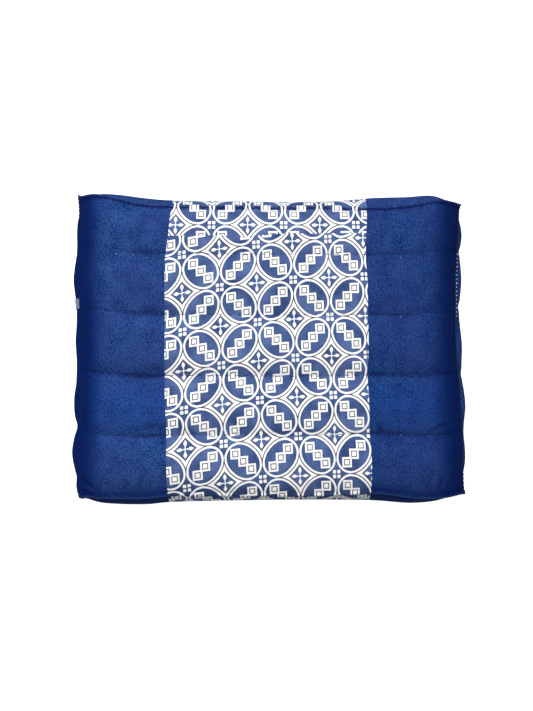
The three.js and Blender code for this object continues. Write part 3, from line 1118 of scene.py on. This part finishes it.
def stitch_tree(name, thread):
    """A tree that lays one arched stitch at each step along a path, facing as the path's points say."""
    tree = bpy.data.node_groups.new(name, "GeometryNodeTree")
    tree.interface.new_socket("Geometry", in_out="INPUT", socket_type="NodeSocketGeometry")
    for label in STITCH_SIZES:
        kind = "NodeSocketInt" if label == "Seed" else "NodeSocketFloat"
        tree.interface.new_socket(label, in_out="INPUT", socket_type=kind)
    tree.interface.new_socket("Geometry", in_out="OUTPUT", socket_type="NodeSocketGeometry")
    given = tree.nodes.new("NodeGroupInput").outputs

    def make(kind, inputs, settings=None, output=0):
        """What a new node gives."""
        return add_node(tree, kind, settings, inputs).outputs[output]

    def scaled(number, factor, offset=0.0):
        """A number times another, plus a third."""
        return make("ShaderNodeMath", [number, factor, offset], {"operation": "MULTIPLY_ADD"})

    def attribute(label):
        """A direction that the path keeps at its points."""
        return make("GeometryNodeInputNamedAttribute", {"Name": label}, {"data_type": "FLOAT_VECTOR"})

    halves = [scaled(given["Stitch Length"], half) for half in (-0.5, 0.5)]
    start, end = (make("ShaderNodeCombineXYZ", [half]) for half in halves)
    middle = make("ShaderNodeCombineXYZ", {"Z": given["Rise"]})
    bends = {"Resolution": 6, "Start": start, "Middle": middle, "End": end}
    arch = make("GeometryNodeCurveQuadraticBezier", bends)
    rounding = {"Resolution": 6, "Radius": given["Thread Radius"]}
    section = make("GeometryNodeCurvePrimitiveCircle", rounding, {"mode": "RADIUS"})
    stitch = make("GeometryNodeCurveToMesh", {"Curve": arch, "Profile Curve": section, "Fill Caps": True})

    path = make("GeometryNodeMeshToCurve", {"Mesh": given["Geometry"]})
    steps = make("GeometryNodeResampleCurve", {"Curve": path, "Length": given["Pitch"]}, {"mode": "LENGTH"})
    axes = {"primary_axis": "Z", "secondary_axis": "X"}
    facing = make("FunctionNodeAxesToRotation", [attribute("up"), attribute("way")], axes)
    span = {"Min": -1.0, "Max": 1.0, "Seed": given["Seed"]}
    chance = make("FunctionNodeRandomValue", span, {"data_type": "FLOAT"}, 1)
    uneven = scaled(chance, given["Unevenness"])
    angle = scaled(uneven, 1.0, given["Slant"])
    turn = make("FunctionNodeAxisAngleToRotation", {"Axis": (0.0, 0.0, 1.0), "Angle": angle})
    turned = make("FunctionNodeRotateRotation", [facing, turn], {"rotation_space": "LOCAL"})
    size = scaled(uneven, SIZE_SPREAD, 1.0)
    places = {"Points": steps, "Instance": stitch, "Rotation": turned, "Scale": size}
    laid = make("GeometryNodeInstanceOnPoints", places)
    real = make("GeometryNodeRealizeInstances", [laid])
    coloured = make("GeometryNodeSetMaterial", {"Geometry": real, "Material": thread})
    tree.links.new(coloured, tree.nodes.new("NodeGroupOutput").inputs[0])
    return tree


def lay_stitches(name, slot, paths, thread, pitch, length, radius):
    """A piece of many stitches, with a row along each path of places, upward directions and ways."""
    edges, count = [], 0
    for path in paths:
        indices = np.arange(len(path["places"])) + count
        after = np.roll(indices, -1)
        edges += list(zip(indices.tolist(), after.tolist()))[: None if path.get("closed") else -1]
        count += len(indices)
    points = np.concatenate([path["places"] for path in paths])
    piece = mesh_object(name, points, [], edges)
    for fact in ("up", "way"):
        values = np.concatenate([path[fact] for path in paths])
        kept = piece.data.attributes.new(fact, "FLOAT_VECTOR", "POINT")
        kept.data.foreach_set("vector", values.astype(np.float32).ravel())
    modifier = piece.modifiers.new("Stitches", "NODES")
    modifier.node_group = stitch_tree(name + " tree", thread)
    given = dict(zip(STITCH_SIZES, (pitch, length, radius, *STITCH_SHAPES[name])))
    for item in modifier.node_group.interface.items_tree:
        if item.in_out == "INPUT" and item.name in given:
            modifier[item.identifier] = given[item.name]
    sewn = finished_mesh(piece)
    piece.modifiers.remove(modifier)
    piece.data = sewn
    sewn.name = name
    if not sewn.materials:
        sewn.materials.append(thread)
    if not len(sewn.polygons):
        raise RuntimeError(f"{name}: no stitches were laid")
    ride_as(piece)


def ride_as(piece):
    """Puts a piece on the cushion's body."""
    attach(piece, BODY)


def cover_piece():
    """The sewn cover, which the other pieces are laid on."""
    cover = bpy.data.objects.get("cover_cloth")
    if cover is None:
        raise RuntimeError("the cover has to be sewn first")
    return cover


def search_tree(cover):
    """The cover's faces, ready for a search along a line."""
    faces = [tuple(face.vertices) for face in cover.data.polygons]
    return BVHTree.FromPolygons(point_places(cover.data).tolist(), faces)


def surface_path(tree, xs, ys, way, sink=0.0):
    """Places on the top of the cover below these places in plan, sunk a little, with one way for all."""
    rays = [tree.ray_cast(Vector((x * MM, y * MM, 0.2)), Vector((0, 0, -1))) for x, y in zip(xs, ys)]
    hits = [(place, normal) for place, normal, _, _ in rays if place is not None]
    return {
        "places": np.array([tuple(place - normal * sink) for place, normal in hits]),
        "up": np.array([tuple(normal) for _, normal in hits]),
        "way": np.broadcast_to(np.array(way, dtype=float), (len(hits), 3)).copy(),
    }


def seam_path(cover, ring, closed, sink=0.0):
    """Places along the top or the bottom seam, or a stretch of it, with stitches laid across it."""
    places = point_places(cover.data)[ring]
    ups = point_normals(cover.data)[ring]
    ahead = np.roll(places, -1, axis=0) - np.roll(places, 1, axis=0)
    if not closed:
        ahead[0], ahead[-1] = places[1] - places[0], places[-1] - places[-2]
    ways = np.cross(ahead, ups)
    ways /= np.linalg.norm(ways, axis=1)[:, None]
    return {"places": places - ups * sink, "up": ups, "way": ways, "closed": closed}


# What a user can change


def number_property(name, description, default, most, unit="NONE", least=0.0):
    """A plain number, from the least to the most that it may be."""
    return FloatProperty(name=name, description=description, default=default, min=least, max=most, unit=unit)


def size_property(name, description, default, least, most):
    """A length in metres."""
    return FloatProperty(
        name=name, description=description, default=default, min=least, max=most, unit="LENGTH", precision=5
    )


def colour_property(name, description, screen):
    """A colour, given as it reads on a screen."""
    return FloatVectorProperty(
        name=name, description=description, default=light_of(*screen)[:3], min=0, max=1, subtype="COLOR"
    )


class CoverSettings(bpy.types.PropertyGroup):
    """The filling and the sewn relief of the cover"""

    pressure: number_property("Filling", "How hard the kapok presses outwards", 4.0, 12)
    frames: IntProperty(name="Frames", description="Steps of the filling", default=20, min=2, max=60)
    most_top_swell: size_property("Top Swell", "How far the top may swell", 0.005, 0, 0.01)
    most_wall_swell: size_property("Wall Swell", "How far the wall may swell", 0.002, 0, 0.01)
    ridge: number_property("Ridge", "Height of the seam's ridge in millimetres", 1.0, 3)
    seam_groove: number_property("Seam Groove", "Depth of the groove inside the seam in millimetres", 1.3, 3)
    line_groove: number_property("Quilting Groove", "Depth of a quilting line in millimetres", 1.1, 3)
    pucker: number_property("Pucker", "Height of the puckers beside seams in millimetres", 0.55, 2)


class ColourSettings(bpy.types.PropertyGroup):
    """The colours of the cloth, with the painted shade and highlight that it takes"""

    deep: colour_property("Deep Blue", "The plain cotton's darker threads", (3, 35, 82))
    light: colour_property("Light Blue", "The plain cotton's lighter threads", (43, 74, 128))
    royal: colour_property("Royal Blue", "Where the dye took best, along the second channel", (10, 64, 139))
    violet: colour_property("Violet", "Where the dye leans to violet", (40, 46, 104))
    # Paler blue on the seam's ridge, partly rubbing and partly a painted highlight
    ridge_wear_and_highlight: colour_property("Worn and Highlit Blue", "The plain cotton along a rubbed ridge", (54, 78, 128))
    # Painted shade: the darkest blue, laid over the ends, the near wall and the near edge
    painted_shade_blue: colour_property("Painted Shade Blue", "The plain cotton at the ends, out of the sun", (0, 21, 75))
    # Painted shade: laid into the quilting lines and folds, and as the shadow line inside the seam
    shade: colour_property("Fold Shade Blue", "Cloth that is drawn down into the quilting", (9, 14, 60))
    ink_deep: colour_property("Print Blue, Deep", "The print where it took well", (44, 62, 104))
    ink_light: colour_property("Print Blue, Light", "The print where it took thinly", (88, 107, 152))
    # The print's darker rim, and also the painted shade along the near edge
    ink_rim_and_shade: colour_property("Print Edge", "The darker rim of the printed blue", (28, 36, 66))
    ground: colour_property("White Ground", "The unprinted cotton", (231, 231, 230))
    ground_shade: colour_property("White Ground, Shaded", "Cotton between the threads", (216, 216, 219))
    fine_line: colour_property("Fine Line", "The fine dark lines of the print", (54, 44, 50))


class StitchSettings(bpy.types.PropertyGroup):
    """The sizes of the stitches"""

    closing_pitch: size_property("Closing Pitch", "From one closing stitch to the next", 0.004, 0.002, 0.01)
    closing_length: size_property("Closing Length", "Length of a closing stitch", 0.0020, 0.001, 0.01)
    seam_pitch: size_property("Seam Pitch", "From one seam stitch to the next", 0.0045, 0.002, 0.01)
    seam_length: size_property("Seam Length", "Length of a seam stitch", 0.0030, 0.001, 0.01)
    quilting_pitch: size_property("Quilting Pitch", "From one such stitch to the next", 0.009, 0.004, 0.02)
    quilting_length: size_property("Quilting Length", "Length of a quilting stitch", 0.0048, 0.001, 0.02)
    thread_radius: size_property("Thread Radius", "Half the thickness of the thread", 0.0003, 0.0001, 0.001)


class StageSettings(bpy.types.PropertyGroup):
    """The floor, the lights and the camera"""

    overhead: number_property("Overhead Light", "Power of the softbox in watts", 89, 500, "POWER")
    fill: number_property("Fill Light", "Power of the fill in watts", 1.0, 200, "POWER")
    room: number_property("Room Light", "Strength of the light from all round", 0.52, 3)
    floor: colour_property("Floor", "The pale floor", (190, 190, 190))
    camera_elevation: number_property(
        "Camera Elevation", "Angle over the floor", math.radians(88), math.radians(90), "ROTATION"
    )
    camera_distance: size_property("Camera Distance", "From the camera to the cushion's top", 1.0, 0.3, 5)
    lens: number_property("Lens", "Focal length in millimetres", 50.73, 200, least=10)


# The operators

SEAM_CRISPNESS = 0.85

# The stretch of the right end that was closed by hand, and the tape on the left one, in millimetres
CLOSING = {"near": 32, "far": 96}
TAPE = {"near": 40.0, "far": 50.0, "top": 45.0, "bottom": 31.0, "sink": 0.1, "thickness": 0.4, "divisions": 8}


class CUSHION_OT_sew_cover(bpy.types.Operator):
    """Sew the cover, fill it, and give it its seams, quilting and cloth"""

    bl_idname = "cushion.sew_cover"
    bl_label = "Sew the Cover"

    def execute(self, context):
        """Builds the cover in place of the plain solid."""
        settings = context.scene.cushion_cover
        grid = CoverGrid()
        piece = mesh_object("cover_cloth", grid.points * MM, grid.faces.tolist())
        self.cut_cloth(piece.data, grid, context.scene.cushion_colours)
        fill_with_kapok(piece, grid, settings)
        facts = grid.facts()
        for name, values in facts.items():
            keep_facts(piece.data, name, values)
        self.sharpen_seams(piece.data, grid)
        rounding = piece.modifiers.new("Rounding", "SUBSURF")
        rounding.levels = rounding.render_levels = 1
        smooth = finished_mesh(piece)
        piece.modifiers.remove(rounding)
        piece.data = smooth
        self.add_relief(smooth, facts, settings)
        smooth.polygons.foreach_set("use_smooth", [True] * len(smooth.polygons))
        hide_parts(NODE)
        ride_as(piece)
        return {"FINISHED"}

    def cut_cloth(self, mesh, grid, colours):
        """Gives each face its cloth, and lays the cloth and the print flat for it."""
        mesh.materials.append(blue_cotton(colours))
        mesh.materials.append(printed_cotton(colours))
        printed = grid.parts["band"] & (grid.parts["panel"] != "bottom")
        mesh.polygons.foreach_set("material_index", printed.astype(int))
        x, y = np.moveaxis(grid.flat_places(), -1, 0)
        layers = {
            "cloth": (x * MM, y * MM),
            "print": print_place(x, y, MAIN_COLUMN, MAIN_ROW),
            "print_far": print_place(x, y, FAR_COLUMN, FAR_ROW),
        }
        for name, (u, v) in layers.items():
            layer = mesh.uv_layers.new(name=name)
            layer.uv.foreach_set("vector", np.stack([u, v], axis=-1).astype(np.float32).ravel())

    def sharpen_seams(self, mesh, grid):
        """Keeps the seams and the corners of the top one crisp when the cover is rounded."""
        rings = [set(ring.tolist()) for ring in (grid.rings[0], grid.rings[-1])]
        values = [SEAM_CRISPNESS * any(set(edge.vertices) <= ring for ring in rings) for edge in mesh.edges]
        mesh.attributes.new("crease_edge", "FLOAT", "EDGE").data.foreach_set("value", values)
        corners = np.zeros(len(mesh.vertices), dtype=np.float32)
        corners[grid.top[[0, 0, -1, -1], [0, -1, 0, -1]]] = 1.0
        mesh.attributes.new("crease_vert", "FLOAT", "POINT").data.foreach_set("value", corners)

    def add_relief(self, mesh, names, settings):
        """Moves the points along their normals, and keeps what the materials need to know of them."""
        relief = Relief({name: fact_of(mesh, name) for name in names}, settings)
        move_points(mesh, point_normals(mesh) * (relief.height() * MM)[:, None])
        for name, values in relief.marks().items():
            keep_facts(mesh, name, values)
        for name in names:
            mesh.attributes.remove(mesh.attributes[name])
        mesh.update()


class CUSHION_OT_sew_seams(bpy.types.Operator):
    """Overcast the two long seams in blue thread"""

    bl_idname = "cushion.sew_seams"
    bl_label = "Overcast the Seams"

    def execute(self, context):
        """Lays small blue stitches round the top and bottom seams."""
        settings = context.scene.cushion_stitches
        cover = cover_piece()
        rings = CoverGrid().rings
        thread = sewing_thread("Blue sewing thread", light_of(34, 54, 112), light_of(14, 26, 68))
        paths = [seam_path(cover, ring, True, sink=0.2 * MM) for ring in (rings[-1], rings[0])]
        sizes = settings.seam_pitch, settings.seam_length, settings.thread_radius * 0.8
        lay_stitches("seam_stitches", "cover", paths, thread, *sizes)
        return {"FINISHED"}


class CUSHION_OT_sew_quilting(bpy.types.Operator):
    """Sew the quilting lines between the channels, and their tied ends"""

    bl_idname = "cushion.sew_quilting"
    bl_label = "Sew the Quilting"

    def execute(self, context):
        """Lays running stitches down in the four sewn lines, and a knot of pale thread at each tie."""
        settings = context.scene.cushion_stitches
        tree = search_tree(cover_piece())
        share = np.linspace(0.04, 0.96, 200)
        lines = []
        for edge in CHANNEL_EDGES[1:-1]:
            x, y = plan_point(share, np.full_like(share, edge / TOTAL_WIDTH))
            lines.append(surface_path(tree, x - MIDDLE[0], y - MIDDLE[1], (1, 0, 0), sink=0.1 * MM))
        thread = sewing_thread("Quilting thread", light_of(30, 46, 100), light_of(12, 22, 60))
        sizes = settings.quilting_pitch, settings.quilting_length, settings.thread_radius
        lay_stitches("quilting_stitches", "cover", lines, thread, *sizes)
        knots = []
        for x, y in zip(TIES["x"], TIES["y"]):
            for turn in (0.4, 1.9):
                way = (math.cos(turn), math.sin(turn), 0)
                knots.append(surface_path(tree, (x - 0.3, x + 0.3), (y, y), way))
        pale = sewing_thread("Pale tying thread", light_of(112, 128, 180), light_of(70, 86, 138))
        lay_stitches("tie_knots", "thread", knots, pale, pitch=0.6 * MM, length=1.2 * MM, radius=0.22 * MM)
        return {"FINISHED"}


class CUSHION_OT_close_end(bpy.types.Operator):
    """Close the right end by hand with overcast stitches in white thread"""

    bl_idname = "cushion.close_end"
    bl_label = "Close the Right End"

    def execute(self, context):
        """Lays the white stitches over the ridge of the right end's seam."""
        settings = context.scene.cushion_stitches
        grid = CoverGrid()
        ring = grid.rings[-1]
        x, y, _ = grid.points[ring].T
        closed_by_hand = ring[(x > 150) & (y > CLOSING["near"]) & (y < CLOSING["far"])]
        path = seam_path(cover_piece(), closed_by_hand, False)
        thread = sewing_thread("White sewing thread", light_of(222, 231, 248), light_of(160, 172, 204))
        sizes = settings.closing_pitch, settings.closing_length, settings.thread_radius
        lay_stitches("closing_stitches", "thread", [path], thread, *sizes)
        return {"FINISHED"}


class CUSHION_OT_add_tape(bpy.types.Operator):
    """Sew a small blank tape tab to the left end"""

    bl_idname = "cushion.add_tape"
    bl_label = "Add the Blank Tape"

    def execute(self, context):
        """Folds a short tape and hangs it on the wall of the left end."""
        tree = search_tree(cover_piece())
        last = TAPE["divisions"]
        rows = last + 1
        inner, outer = [], []
        for j in range(rows):
            for k in range(rows):
                y, z = mix(TAPE["near"], TAPE["far"], j / last), mix(TAPE["top"], TAPE["bottom"], k / last)
                hit, normal, _, _ = tree.ray_cast(Vector((-0.3, y * MM, z * MM)), Vector((1, 0, 0)))
                lift = 0.05 + 0.3 * math.sin(math.pi * 0.62 * k / last) + 0.1 * math.sin(j * 1.3)
                inner.append(hit + normal * TAPE["sink"] * MM)
                outer.append(hit + normal * (lift + TAPE["thickness"]) * MM)
        count = len(inner)
        faces = []
        for j in range(last):
            for k in range(last):
                a, b = j * rows + k, (j + 1) * rows + k
                faces.append((a, a + 1, b + 1, b))
                faces.append((count + a, count + b, count + b + 1, count + a + 1))
        rim = [j * rows for j in range(rows)] + [last * rows + k for k in range(1, rows)]
        rim += [j * rows + last for j in range(last - 1, -1, -1)] + list(range(last - 1, 0, -1))
        faces += [(a, b, count + b, count + a) for a, b in zip(rim, rim[1:] + rim[:1])]
        piece = mesh_object("blank_tape", inner + outer, faces)
        work = bmesh.new()
        work.from_mesh(piece.data)
        bmesh.ops.recalc_face_normals(work, faces=work.faces)
        work.to_mesh(piece.data)
        work.free()
        piece.data.materials.append(tape_cotton(light_of(150, 152, 176), light_of(110, 112, 140)))
        piece.data.polygons.foreach_set("use_smooth", [True] * len(piece.data.polygons))
        ride_as(piece)
        return {"FINISHED"}


class CUSHION_OT_set_stage(bpy.types.Operator):
    """Lay the pale floor, and set the soft lights and the camera"""

    bl_idname = "cushion.set_stage"
    bl_label = "Set the Stage"

    def execute(self, context):
        """Builds the floor, two soft lights, the room's light and the camera."""
        settings = context.scene.cushion_stage
        self.lay_floor(settings)
        self.add_light("overhead_softbox", (-0.5, 1.35, 2.25), 1.0, settings.overhead, (0.97, 0.99, 1.0))
        self.add_light("near_fill", (0.4, -1.6, 1.2), 1.2, settings.fill, (0.90, 0.94, 1.0))
        world = bpy.data.worlds.new("Soft room")
        world.use_nodes = True
        colour, strength = world.node_tree.nodes["Background"].inputs[:2]
        colour.default_value = (1, 1, 1, 1)
        strength.default_value = settings.room
        context.scene.world = world
        context.scene.view_settings.view_transform = "Standard"
        self.add_camera(settings, context.scene)
        return {"FINISHED"}

    def lay_floor(self, settings):
        """A pale floor that glows a little and throws no light back at the cushion."""
        half, low = 4.0, -0.3 * MM
        corners = [(-half, -half, low), (half, -half, low), (half, half, low), (-half, half, low)]
        floor = mesh_object("pale_floor", corners, [(0, 1, 2, 3)])
        finish = Finish("Pale floor")
        finish.feed({"Base Color": (*settings.floor, 1), "Roughness": 0.9, "Specular IOR Level": 0.1})
        finish.feed({"Emission Color": (1, 1, 1, 1), "Emission Strength": 0.9})
        floor.data.materials.append(finish.material)
        floor.visible_diffuse = floor.visible_glossy = False

    def add_light(self, name, place, size, power, colour):
        """A square softbox that faces the cushion."""
        light = bpy.data.lights.new(name, "AREA")
        light.shape = "SQUARE"
        light.size = size
        light.energy = power
        light.color = colour
        lamp = bpy.data.objects.new(name, light)
        lamp.location = place
        lamp.rotation_euler = (-Vector(place)).to_track_quat("-Z", "Y").to_euler()
        bpy.context.scene.collection.objects.link(lamp)

    def add_camera(self, settings, scene):
        """A camera almost straight over the cushion, framed as the photograph is."""
        tilt = settings.camera_elevation
        forward = Vector((0, math.cos(tilt), -math.sin(tilt)))
        upward = Vector((0, math.sin(tilt), math.cos(tilt)))
        aim = Vector((-2.5 * MM, 0, 50 * MM)) - upward * 7.5 * MM
        data = bpy.data.cameras.new("camera")
        data.lens = settings.lens
        camera = bpy.data.objects.new("camera", data)
        turn = Matrix((Vector((1, 0, 0)), upward, -forward)).transposed()
        camera.matrix_world = Matrix.Translation(aim - forward * settings.camera_distance) @ turn.to_4x4()
        scene.collection.objects.link(camera)
        scene.camera = camera


class CUSHION_PT_panel(bpy.types.Panel):
    """The cushion's settings and steps"""

    bl_label = "Meditation Cushion"
    bl_idname = "CUSHION_PT_panel"
    bl_space_type = "VIEW_3D"
    bl_region_type = "UI"
    bl_category = "Cushion"

    def draw(self, context):
        """Lists the settings of each group and a button for each step."""
        for group_name, group in GROUPS.items():
            box = self.layout.box()
            for name in group.__annotations__:
                box.prop(getattr(context.scene, group_name), name)
        for step in STEPS:
            self.layout.operator(step.bl_idname)


GROUPS = {
    "cushion_cover": CoverSettings,
    "cushion_colours": ColourSettings,
    "cushion_stitches": StitchSettings,
    "cushion_stage": StageSettings,
}
STEPS = (
    CUSHION_OT_sew_cover,
    CUSHION_OT_sew_seams,
    CUSHION_OT_sew_quilting,
    CUSHION_OT_close_end,
    CUSHION_OT_add_tape,
    CUSHION_OT_set_stage,
)


def register():
    """Adds the settings, the steps and the panel."""
    for name, group in GROUPS.items():
        bpy.utils.register_class(group)
        setattr(bpy.types.Scene, name, PointerProperty(type=group))
    for step in STEPS:
        bpy.utils.register_class(step)
    bpy.utils.register_class(CUSHION_PT_panel)


def unregister():
    """Takes away what register added."""
    bpy.utils.unregister_class(CUSHION_PT_panel)
    for step in reversed(STEPS):
        bpy.utils.unregister_class(step)
    for name, group in GROUPS.items():
        delattr(bpy.types.Scene, name)
        bpy.utils.unregister_class(group)


def main():
    """Makes every piece in order."""
    register()
    bpy.ops.cushion.sew_cover()
    bpy.ops.cushion.sew_seams()
    bpy.ops.cushion.sew_quilting()
    bpy.ops.cushion.close_end()
    bpy.ops.cushion.add_tape()
    bpy.ops.cushion.set_stage()


if __name__ == "__main__":
    main()
